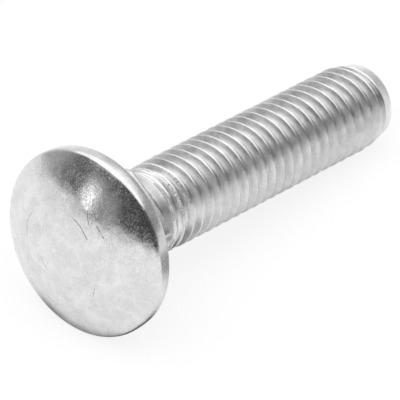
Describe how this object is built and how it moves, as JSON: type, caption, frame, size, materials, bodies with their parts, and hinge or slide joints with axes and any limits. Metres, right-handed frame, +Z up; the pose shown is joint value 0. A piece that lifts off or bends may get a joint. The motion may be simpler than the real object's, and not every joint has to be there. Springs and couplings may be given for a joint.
{
  "type": "carriage bolt",
  "caption": "Round-head, square-neck bolt in bright zinc-plated steel, fully threaded, lying on its head's rim and the end of its thread.",
  "frame": {"origin": "on the floor, under the centre of the bolt's outline seen from above", "axes": "+Z up; the bolt lies along X with its tip towards +X and its head towards -X, its axis sloping 7.5 degrees down to the tip"},
  "size_m": [0.064, 0.0266, 0.0265],
  "materials": {
    "zinc_plated_steel": "bright zinc plating on cold-headed, thread-rolled steel"
  },
  "bodies": {
    "root": {"carriage_bolt": "zinc_plated_steel"}
  },
  "joints": []
}
